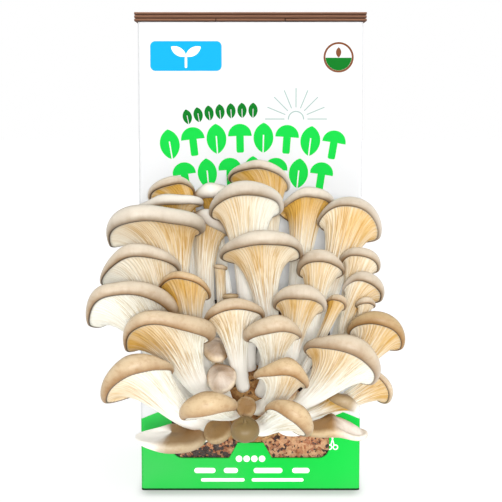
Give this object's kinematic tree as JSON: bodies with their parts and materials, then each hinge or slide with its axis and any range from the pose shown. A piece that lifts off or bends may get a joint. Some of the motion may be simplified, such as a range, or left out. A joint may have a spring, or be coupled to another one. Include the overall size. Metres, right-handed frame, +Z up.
{
  "type": "oyster mushroom grow kit",
  "caption": "Upright printed carton with a cut-out window in its front, from which a dense cluster of oyster mushrooms grows out of the substrate block inside.",
  "frame": {"origin": "centre of the carton's bottom face, which rests on the table", "axes": "+Z up along the carton's height, -Y out of the carton's front with the window, +X to the right seen from the front"},
  "size_m": [0.1462, 0.1883, 0.2406],
  "materials": {
    "carton_board": "printed, satin",
    "raw_board_edge": "raw brown board",
    "bag_film": "clear film",
    "substrate": "rough, grown-through sawdust",
    "mushroom_root": "matte",
    "mushroom_flesh": "matte, slightly moist"
  },
  "bodies": {
    "root": {"carton_body": "carton_board", "dust_flap_left": "raw_board_edge", "dust_flap_right": "raw_board_edge", "top_flap_inner": "raw_board_edge", "top_flap_outer": "raw_board_edge", "grow_bag": "bag_film", "substrate_block": "substrate", "root_mass": "mushroom_root", "mushroom_centre_1": "mushroom_flesh", "mushroom_centre_2": "mushroom_flesh", "mushroom_centre_3": "mushroom_flesh", "mushroom_centre_4": "mushroom_flesh", "mushroom_centre_5": "mushroom_flesh", "mushroom_centre_6": "mushroom_flesh", "mushroom_centre_7": "mushroom_flesh", "mushroom_centre_8": "mushroom_flesh", "mushroom_left_1": "mushroom_flesh", "mushroom_left_2": "mushroom_flesh", "mushroom_left_3": "mushroom_flesh", "mushroom_left_4": "mushroom_flesh", "mushroom_left_5": "mushroom_flesh", "mushroom_left_6": "mushroom_flesh", "mushroom_low_1": "mushroom_flesh", "mushroom_low_2": "mushroom_flesh", "mushroom_low_3": "mushroom_flesh", "mushroom_low_4": "mushroom_flesh", "mushroom_low_5": "mushroom_flesh", "mushroom_low_6": "mushroom_flesh", "mushroom_low_7": "mushroom_flesh", "mushroom_low_8": "mushroom_flesh", "mushroom_right_1": "mushroom_flesh", "mushroom_right_2": "mushroom_flesh", "mushroom_right_3": "mushroom_flesh", "mushroom_right_4": "mushroom_flesh", "mushroom_right_5": "mushroom_flesh", "mushroom_right_6": "mushroom_flesh", "mushroom_right_7": "mushroom_flesh", "mushroom_right_8": "mushroom_flesh", "mushroom_top_1": "mushroom_flesh", "mushroom_top_2": "mushroom_flesh", "mushroom_top_3": "mushroom_flesh", "mushroom_top_4": "mushroom_flesh", "mushroom_top_5": "mushroom_flesh", "mushroom_top_6": "mushroom_flesh", "mushroom_top_7": "mushroom_flesh", "mushroom_top_8": "mushroom_flesh", "pin_1": "mushroom_flesh", "pin_2": "mushroom_flesh"}
  },
  "joints": []
}
